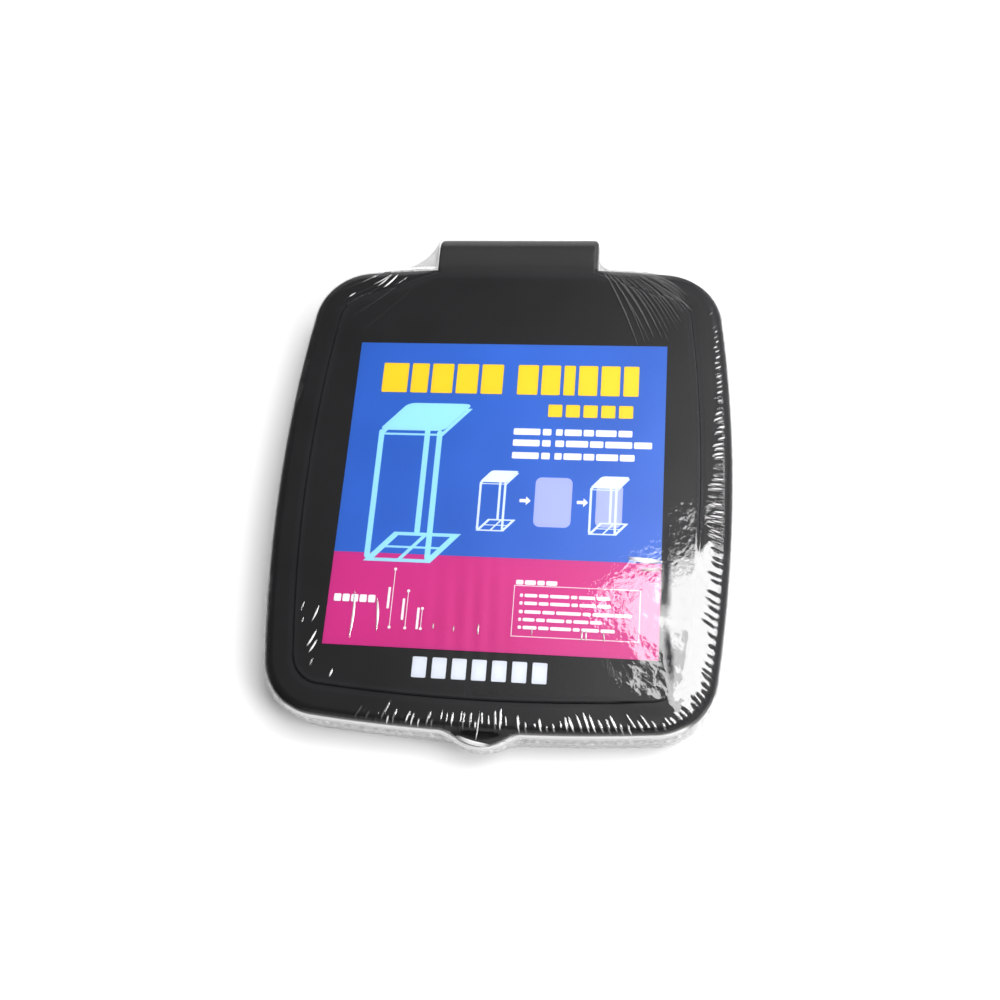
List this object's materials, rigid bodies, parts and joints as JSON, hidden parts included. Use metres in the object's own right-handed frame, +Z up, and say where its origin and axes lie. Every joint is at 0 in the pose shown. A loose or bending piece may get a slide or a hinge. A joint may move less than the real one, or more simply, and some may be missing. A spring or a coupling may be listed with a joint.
{
  "type": "shrink-wrapped bin bag holder kit",
  "caption": "Flat-packed stand for a bin bag: a hinged lid over a base, rings and tube posts, with a printed card on the lid, held together by clear shrink film.",
  "frame": {"origin": "middle of the pack's underside, on the floor", "axes": "+X to the right, +Y from the thumb lip towards the hinge block, +Z up through the lid"},
  "size_m": [0.3018, 0.3604, 0.0452],
  "materials": {
    "clear_film": "clear, glossy",
    "printed_card": "satin print",
    "black_moulding": "fine moulded texture",
    "black_tube": "smooth extruded"
  },
  "bodies": {
    "root": {"shrink_film": "clear_film", "instruction_card": "printed_card", "lid": "black_moulding", "stopper_ring": "black_moulding", "bag_ring": "black_moulding", "base": "black_moulding", "post_section_1": "black_tube", "post_section_2": "black_tube", "post_section_3": "black_tube", "post_section_4": "black_tube", "post_section_5": "black_tube", "post_section_6": "black_tube", "post_section_7": "black_tube", "post_section_8": "black_tube", "post_section_9": "black_tube"}
  },
  "joints": []
}
